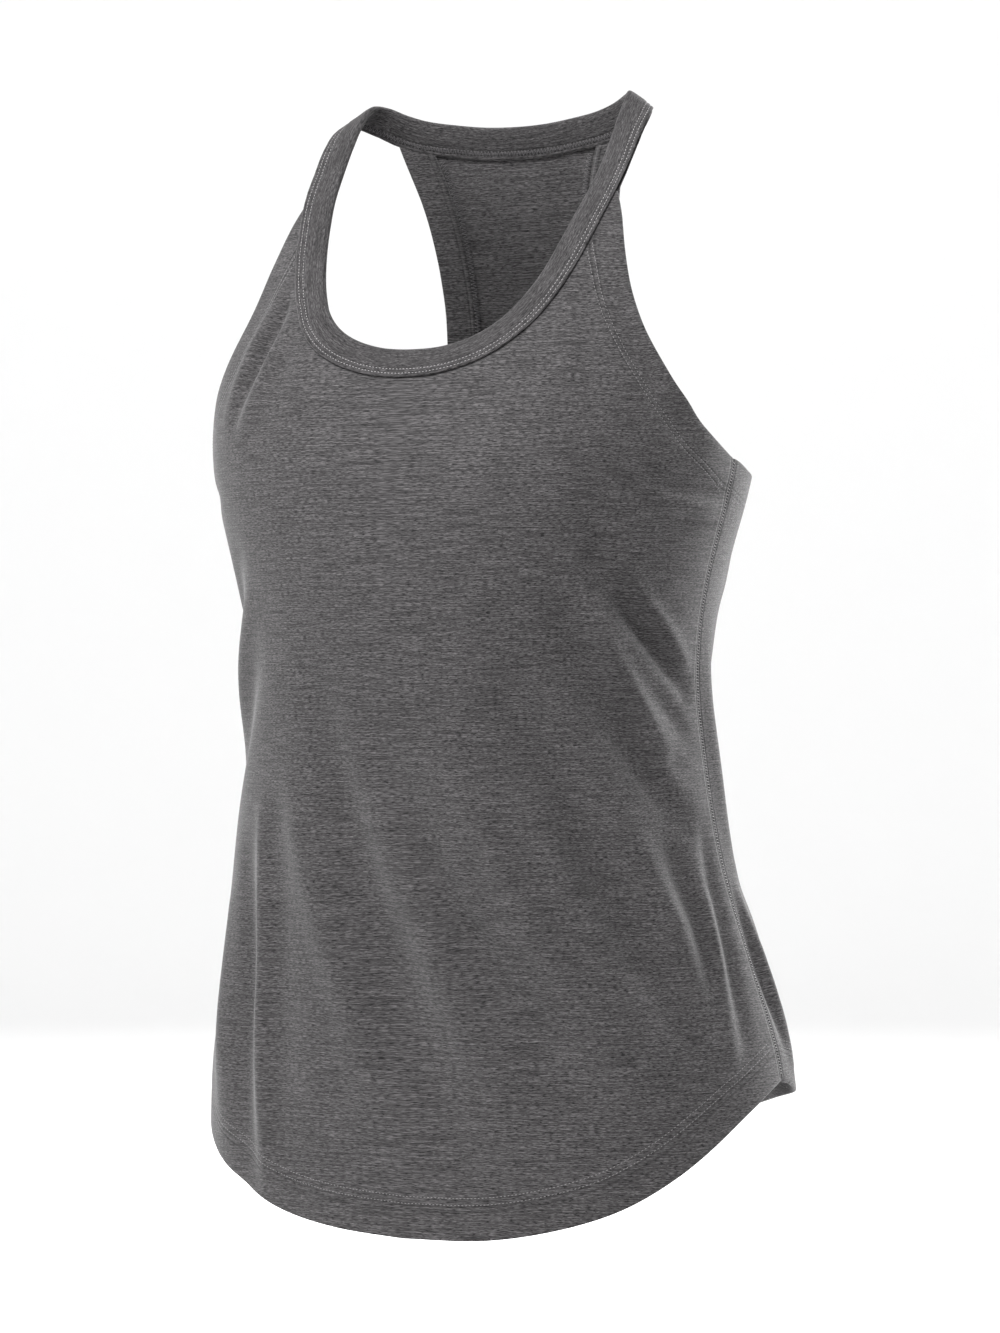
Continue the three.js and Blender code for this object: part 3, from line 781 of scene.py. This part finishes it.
# %% Rows of stitches
THREAD, LOOPER_THREAD = 0.42, 0.36
PITCH = 2.3  # from one stitch to the next
DASH = 1.6  # what shows of each
OVERLAP = 0.8  # how far a looper thread reaches past its rows
SLANT = 0.9  # share of the pitch that a looper thread runs on as it crosses

ball = bmesh.new()
bmesh.ops.create_uvsphere(ball, u_segments=6, v_segments=4, radius=1)
dash_mesh = bpy.data.meshes.new("dash")
ball.to_mesh(dash_mesh)
ball.free()
dash_form = np.array([vert.co for vert in dash_mesh.vertices])


def add_dashes(bm, middles, alongs, outs, length=DASH, thread=THREAD):
    """Copies of the ball, each stretched and turned along its stitch."""
    alongs = unit(np.asarray(alongs))
    asides = unit(np.cross(outs, alongs))
    size = np.array([length, thread, thread]) / 2
    for middle, *axes in zip(middles, alongs, asides, np.cross(alongs, asides)):
        places = (dash_form * size) @ np.array(axes) + middle
        dash_mesh.vertices.foreach_set("co", (places * MM).astype(np.float32).ravel())
        bm.from_mesh(dash_mesh)


def evenly(points, outs, pitch):
    """Middles, directions and outward directions at equal steps along a path."""
    reached = lengths(points)
    count = max(int(reached[-1] / pitch), 1)
    wanted = (np.arange(count) + 0.5) * reached[-1] / count

    def walk(values, at):
        return np.stack([np.interp(at, reached, values[:, k]) for k in range(3)], -1)

    ahead, behind = np.minimum(wanted + 0.5, reached[-1]), np.maximum(wanted - 0.5, 0)
    along = unit(walk(points, ahead) - walk(points, behind))
    return walk(points, wanted), along, unit(walk(outs, wanted))


def zigzag(bm, points, outs, asides, width, pitch):
    """Looper threads that cross from one row to the other and back."""
    middles, alongs, normals = evenly(points, outs, pitch)
    _, _, across = evenly(points, asides, pitch)
    for k, (middle, along, out, aside) in enumerate(zip(middles, alongs, normals, across)):
        slant = unit(aside * width * (1 if k % 2 else -1) + along * pitch * SLANT)
        add_dashes(bm, [middle], [slant], [out], math.hypot(width, pitch), LOOPER_THREAD)


# %% Neck stitches
SUNK = 0.08
ABOVE = THICKNESS / 2 - SUNK  # how high a thread's middle lies over the middle of its cloth
path = station_at(np.linspace(0, RING_LENGTH, 1200))
bm = bmesh.new()
for depth in BINDING_ROWS:
    d = np.full_like(path, depth)
    out = binding_out(d, path)
    line = binding_middle(d, path) + out * (leaf_lift(d, path) + ABOVE)[:, None]
    add_dashes(bm, *evenly(line, out, PITCH))
neck_stitches = add_piece("neck_stitches", bm)

bm = bmesh.new()
d = np.full_like(path, sum(BINDING_ROWS) / 2)
out = -binding_out(d, path)
line = binding_middle(d, path) + out * (leaf_lift(d, path) + THICKNESS / 2)[:, None]
aside = unit(edge_line(path) - fold_line(path))
zigzag(bm, line, out, aside, BINDING_ROWS[0] - BINDING_ROWS[1] + OVERLAP, PITCH / 2)
neck_loops = add_piece("neck_loops", bm)

# %% Armhole and hem stitches
HEM_ROWS = (16.9, 20.1)  # distances of the twin rows from the edge
BELOW_BINDING = 0.995
CORNER = 0.985  # where the hem's rows meet the seam


def rows_along(panel, across, up, inward, distance):
    """A line at a distance in from an edge, up to the binding."""
    across, up = panel.inset(across, up, inward, distance)
    keep = up < BELOW_BINDING
    return across[keep], up[keep]


def sew_edge(panel, outer, inner, across, up, inward):
    """Twin rows outside and their looper threads inside."""
    for distance in HEM_ROWS:
        a, u = rows_along(panel, across, up, inward, distance)
        out = panel.out(a, u)
        add_dashes(outer, *evenly(panel.point(a, u) + out * ABOVE, out, PITCH))
    a, u = rows_along(panel, across, up, inward, sum(HEM_ROWS) / 2)
    out = panel.out(a, u)
    line = panel.point(a, u) - out * (LAYER + THICKNESS / 2)
    aside = unit(np.cross(out, np.gradient(line, axis=0)))
    zigzag(inner, line, -out, aside, HEM_ROWS[1] - HEM_ROWS[0] + OVERLAP, PITCH / 2)


sewn = (bmesh.new(), bmesh.new())
for panel in (front, back):
    across = np.linspace(-CORNER, CORNER, 500)
    sew_edge(panel, *sewn, across, np.zeros_like(across), panel.from_hem(across))
    up = np.linspace(panel.underarm, TOP, 400)
    for side in (-1, 1):
        sew_edge(panel, *sewn, np.full_like(up, side), up, panel.from_side(side, up))
edge_stitches = add_piece("edge_stitches", sewn[0])
edge_loops = add_piece("edge_loops", sewn[1])

# %% Side seams
# A flat seam of several threads: two rails and the rungs between them, 3.8 mm wide, like a ladder.
SEAM_WIDTH = 3.8
SEAM_EDGE = 2.3  # where the cloth dips beside it, from its middle; the dip is a bump with painted shade
SEAM_BOTTOM, SEAM_TOP = -579.5, -223
RUNG_PITCH, RUNG_THREAD, RUNG_SLANT, RUNG_SUNK = 1.7, 0.5, 0.25, 0.05
RAIL_DASH, RAIL_THREAD = 1.3, 0.4
height = np.linspace(SEAM_BOTTOM, SEAM_TOP, 300)
rails, rungs = bmesh.new(), bmesh.new()
for side in (-1, 1):
    turn = np.full_like(height, float(side))
    middle, out = cloth(turn, height), outward(cloth, turn, height, TURN_STEP, HEIGHT_STEP)
    up = unit(np.gradient(middle, axis=0))
    aside = unit(np.cross(out, up))
    for rail in (-1, 1):
        line = middle + aside * (rail * SEAM_WIDTH / 2) + out * ABOVE
        add_dashes(rails, *evenly(line, out, RUNG_PITCH), length=RAIL_DASH, thread=RAIL_THREAD)
    middles, alongs, outs = evenly(middle + out * (ABOVE - RUNG_SUNK), out, RUNG_PITCH)
    slant = unit(np.cross(outs, alongs) + alongs * RUNG_SLANT)
    add_dashes(rungs, middles, slant, outs, length=SEAM_WIDTH, thread=RUNG_THREAD)
seam_rails = add_piece("seam_rails", rails)
seam_rungs = add_piece("seam_rungs", rungs)

# %% [markdown]
# ## Heather jersey
# Single jersey, circular knitted from yarn that was spun of dark and light fibres, mostly polyester
# with some cotton. Light fibres lie along the courses, so the cloth has short level flecks and
# longer faint slubs. The surface is matt with a soft sheen at a low angle. An image could carry all
# this, but noise drawn on the cloth's own UV map, in metres across and up, has no seams and any
# sharpness. Courses of real jersey are 0.6 mm apart, which is finer than the picture shows, so a
# fleck is drawn 3 mm long and 0.5 mm high, a slub 24 mm by 0.8 mm, and the slow change of tone 60
# mm by 40 mm.

# %% Colours and nodes
def linear(code):
    """A hex sRGB colour as linear red, green, blue and alpha."""
    values = [int(code[k : k + 2], 16) / 255 for k in (1, 3, 5)]
    return [v / 12.92 if v <= 0.04045 else ((v + 0.055) / 1.055) ** 2.4 for v in values] + [1]


def add_node(tree, kind, inputs=None, **settings):
    """Adds a node. inputs are values or other nodes' sockets, by name or number."""
    made = tree.nodes.new("ShaderNode" + kind)
    for name, value in settings.items():
        setattr(made, name, value)
    for name, value in (inputs or {}).items():
        if isinstance(value, bpy.types.NodeSocket):
            tree.links.new(value, made.inputs[name])
        else:
            made.inputs[name].default_value = value
    return made


# %% Heather jersey
FLECK, SLUB, CLOUD = (3, 0.5), (24, 0.8), (60, 40)  # length and height in millimetres
GROOVE, GROOVE_PAINTED_SHADE = 1.1, 0.7  # width of the dip at a row of stitches, and how dark the painted shade in it is
RELIEF = 0.35  # depth of a groove


def new_material(name):
    """A material without nodes, and its node tree."""
    material = bpy.data.materials.new(name)
    material.use_nodes = True
    material.node_tree.nodes.clear()
    return material, material.node_tree


def heather_jersey(name, dark, light, hems):
    """Jersey in two greys. hems tells whether the cloth carries its distance from a hem."""
    material, tree = new_material(name)
    uv = add_node(tree, "UVMap", uv_map="cloth").outputs["UV"]

    def fibres(length, height, detail):
        """Where light fibres lie, as 0 to 1, for a streak of a length and height in millimetres."""
        scale = (1 / (length * MM), 1 / (height * MM), 1)
        place = add_node(tree, "Mapping", {"Vector": uv, "Scale": scale}).outputs["Vector"]
        noise = {"Vector": place, "Scale": 1, "Detail": detail, "Roughness": 0.6, "Distortion": 0.5}
        return add_node(tree, "TexNoise", noise, noise_dimensions="2D").outputs["Fac"]

    flecks = add_node(
        tree, "MapRange", {"Value": fibres(*FLECK, 2), "From Min": 0.3, "From Max": 0.7}
    ).outputs["Result"]
    slubs = add_node(
        tree, "MapRange",
        {
            "Value": fibres(*SLUB, 2), "From Min": 0.34, "From Max": 0.66,
            "To Min": 0.6, "To Max": 1.4,
        },
    ).outputs["Result"]
    clouds = add_node(
        tree, "MapRange",
        {
            "Value": fibres(*CLOUD, 1), "From Min": 0.3, "From Max": 0.7,
            "To Min": 0.96, "To Max": 1.05,
        },
    ).outputs["Result"]
    greys = {"Factor": flecks, 6: linear(dark), 7: linear(light)}  # 6 and 7 are the colour sockets
    mixed = add_node(tree, "Mix", greys, data_type="RGBA").outputs[2]
    tone = add_node(tree, "Math", {0: slubs, 1: clouds}, operation="MULTIPLY").outputs[0]
    height = add_node(tree, "Math", {0: flecks, 1: 0.25}, operation="MULTIPLY").outputs[0]
    if hems:
        from_hem = add_node(tree, "Attribute", attribute_name="hem_distance").outputs["Fac"]
        across = add_node(tree, "SeparateXYZ", {"Vector": uv}).outputs["X"]
        across = add_node(
            tree, "Math", {0: across, 1: 1 / MM, 2: QUARTER_GIRTH}, operation="MULTIPLY_ADD"
        ).outputs[0]
        from_seam = add_node(
            tree, "Math", {0: across, 1: QUARTER_GIRTH}, operation="PINGPONG"
        ).outputs[0]
        for away, row in (*((from_hem, row) for row in HEM_ROWS), (from_seam, SEAM_EDGE)):
            near = add_node(tree, "Math", {0: away, 1: row}, operation="SUBTRACT").outputs[0]
            near = add_node(tree, "Math", {0: near}, operation="ABSOLUTE").outputs[0]
            groove = add_node(
                tree, "MapRange", {"Value": near, "From Max": GROOVE},
                interpolation_type="SMOOTHSTEP",
            ).outputs["Result"]
            height = add_node(tree, "Math", {0: height, 1: groove}, operation="ADD").outputs[0]
            # painted shade: the colour is darkened along each groove, at the hems' stitch rows and
            # beside the side seams
            shade = add_node(
                tree, "MapRange", {"Value": groove, "To Min": GROOVE_PAINTED_SHADE}
            ).outputs["Result"]
            tone = add_node(tree, "Math", {0: tone, 1: shade}, operation="MULTIPLY").outputs[0]
    colour = add_node(tree, "VectorMath", {0: mixed, 1: tone}, operation="MULTIPLY").outputs[0]
    bump = add_node(tree, "Bump", {"Height": height, "Distance": RELIEF * MM, "Strength": 0.6})
    shader = add_node(
        tree, "BsdfPrincipled",
        {
            "Base Color": colour, "Normal": bump.outputs["Normal"], "Roughness": 0.88, "IOR": 1.45,
            "Specular IOR Level": 0.25, "Sheen Weight": 0.18, "Sheen Roughness": 0.45,
        },
    )
    add_node(tree, "OutputMaterial", {"Surface": shader.outputs["BSDF"]})
    print(name, "has", len(tree.nodes), "nodes")
    return material


# the eye sees matt cloth whose flecks melt into one grey a few metres away
body_jersey = heather_jersey("polyester cotton heather jersey, knitted", "#151415", "#565455", True)
# the same cloth, drawn a little darker on the binding as painted shade
binding_jersey_painted_shade = heather_jersey(
    "polyester cotton heather jersey, knitted and folded", "#131213", "#4b494a", False
)

# %% Thread
FUZZ_SIZE, FUZZ_DEPTH = 1.5, 0.05


def spun_thread(name, colour):
    """Spun polyester thread: matt, with the light catching its twist."""
    material, tree = new_material(name)
    place = add_node(tree, "TexCoord").outputs["Object"]
    noise = {"Vector": place, "Scale": 1 / (FUZZ_SIZE * MM), "Detail": 1}
    fuzz = add_node(tree, "TexNoise", noise).outputs["Fac"]
    tone = add_node(tree, "MapRange", {"Value": fuzz, "To Min": 0.75, "To Max": 1.2})
    shade = {0: linear(colour)[:3], 1: tone.outputs["Result"]}
    shade = add_node(tree, "VectorMath", shade, operation="MULTIPLY").outputs[0]
    bump = add_node(tree, "Bump", {"Height": fuzz, "Distance": FUZZ_DEPTH * MM, "Strength": 0.5})
    inputs = {"Base Color": shade, "Normal": bump.outputs["Normal"]}
    inputs |= {"Roughness": 0.6, "Sheen Weight": 0.2}
    shader = add_node(tree, "BsdfPrincipled", inputs)
    add_node(tree, "OutputMaterial", {"Surface": shader.outputs["BSDF"]})
    print(name, "has", len(tree.nodes), "nodes")
    return material


# pale dashes stand out at the neck, quieter ones at the hems, and the rails are painted near black
# as the shadow lines along the seam's edges
light_thread = spun_thread("spun polyester thread, light grey", "#b0aeaf")
grey_thread = spun_thread("spun polyester thread, mid grey", "#7a7879")
loop_thread = spun_thread("textured polyester looper thread, dark grey", "#4a484a")
# painted shadow: the rails' near-black stands for the shade along both edges of the flat seam
rail_thread_painted_shadow = spun_thread("spun polyester thread, painted near black as shadow", "#141314")
for piece, material in (
    (front_cloth, body_jersey), (back_cloth, body_jersey), (binding_cloth, binding_jersey_painted_shade),
    (neck_stitches, light_thread), (neck_loops, loop_thread), (edge_stitches, grey_thread),
    (edge_loops, loop_thread), (seam_rails, rail_thread_painted_shadow), (seam_rungs, grey_thread),
):
    piece.data.materials.append(material)
    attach(piece, "root")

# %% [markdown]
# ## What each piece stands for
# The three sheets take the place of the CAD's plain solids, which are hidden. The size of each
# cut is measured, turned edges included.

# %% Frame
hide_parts("front_panel")
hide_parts("back_panel")
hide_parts("neck_binding")


def cut_size(points, kept):
    """The widest row and the longest column of a sheet, in metres, turned edges included."""
    def longest(points, kept):
        steps = np.linalg.norm(np.diff(points, axis=1), axis=-1)
        return float((steps * (kept[:, 1:] & kept[:, :-1])).sum(axis=1).max() * MM)

    return longest(points, kept), longest(points.swapaxes(0, 1), kept.T)


FRONT_CUT = cut_size(front_sheet[0], front_sheet[2])
BACK_CUT = cut_size(back_sheet[0], back_sheet[2])
BINDING_CUT = cut_size(binding_points, np.ones(binding_points.shape[:2], bool))
print("cut sizes in metres:", FRONT_CUT, BACK_CUT, BINDING_CUT)

# %% [markdown]
# ## Studio
# A white studio: pale paper on the floor, well below the hem, which sweeps up into a round wall so
# that no line shows between them. A plane and a backdrop would show their corner from some sides,
# so the edge of the sweep is spun once round the upright axis. The light is soft and comes mostly
# from above and in front, with a light at the right that outlines the back, and one for the wall.

# %% Floor
FLOOR = -1.05
FLOOR_RADIUS, SWEEP, WALL_HEIGHT = 7.0, 3.0, 2.0
SWEEP_STEP, AROUND = 7.5, 96  # degrees from edge to edge of the sweep, and facets around
bm = bmesh.new()
profile = [bm.verts.new((0, 0, FLOOR)), bm.verts.new((FLOOR_RADIUS, 0, FLOOR))]
for angle in np.radians(np.arange(SWEEP_STEP, 91, SWEEP_STEP)):
    rise, run = SWEEP * (1 - math.cos(angle)), SWEEP * math.sin(angle)
    profile.append(bm.verts.new((FLOOR_RADIUS + run, 0, FLOOR + rise)))
profile.append(bm.verts.new((FLOOR_RADIUS + SWEEP, 0, FLOOR + SWEEP + WALL_HEIGHT)))
edges = [bm.edges.new(pair) for pair in zip(profile, profile[1:])]
bmesh.ops.spin(
    bm, geom=profile + edges, cent=(0, 0, 0), axis=(0, 0, 1), angle=2 * math.pi, steps=AROUND,
    use_merge=True,
)
bmesh.ops.remove_doubles(bm, verts=bm.verts, dist=MM)
bmesh.ops.recalc_face_normals(bm, faces=bm.faces)
floor = add_piece("floor", bm)
# coated paper would mirror the garment, matt paper shows only an even white
paper, tree = new_material("matt white paper")
shader = add_node(tree, "BsdfPrincipled", {"Base Color": linear("#fafafa"), "Roughness": 1})
add_node(tree, "OutputMaterial", {"Surface": shader.outputs["BSDF"]})
floor.data.materials.append(paper)

# %% Lights
MIDDLE = (0, 0, -0.33)
WHITE_AROUND = 0.22


def soft_light(name, right, forward, height, width, tall, power, aim=MIDDLE):
    """A soft box, placed to the camera's right and beyond the garment, aimed at its middle."""
    data = bpy.data.lights.new(name, "AREA")
    data.shape, data.size, data.size_y, data.energy = "RECTANGLE", width, tall, power
    light = bpy.data.objects.new(name, data)
    light.location = to_right * right - to_camera * forward + Vector((0, 0, height))
    light.rotation_mode = "QUATERNION"
    light.rotation_quaternion = (light.location - Vector(aim)).to_track_quat("Z", "Y")
    bpy.context.collection.objects.link(light)


soft_light("left_box", -2.0, -0.3, 1.3, 0.8, 1.2, 38)
soft_light("right_box", 2.3, 0.3, 0.3, 0.8, 1.8, 28)
soft_light("rim_box", 1.9, 1.5, 0.3, 0.8, 2.0, 95)
soft_light("top_box", -0.7, -1.4, 2.0, 1.2, 1.0, 122)
soft_light("wall_box", 0, 1.9, 1.6, 2.0, 1.0, 330, aim=to_camera * -7)

world = bpy.data.worlds.new("white studio")
world.use_nodes = True
world.node_tree.nodes["Background"].inputs["Color"].default_value = linear("#ffffff")
world.node_tree.nodes["Background"].inputs["Strength"].default_value = WHITE_AROUND
bpy.context.scene.world = world
bpy.context.scene.view_settings.view_transform = "Standard"
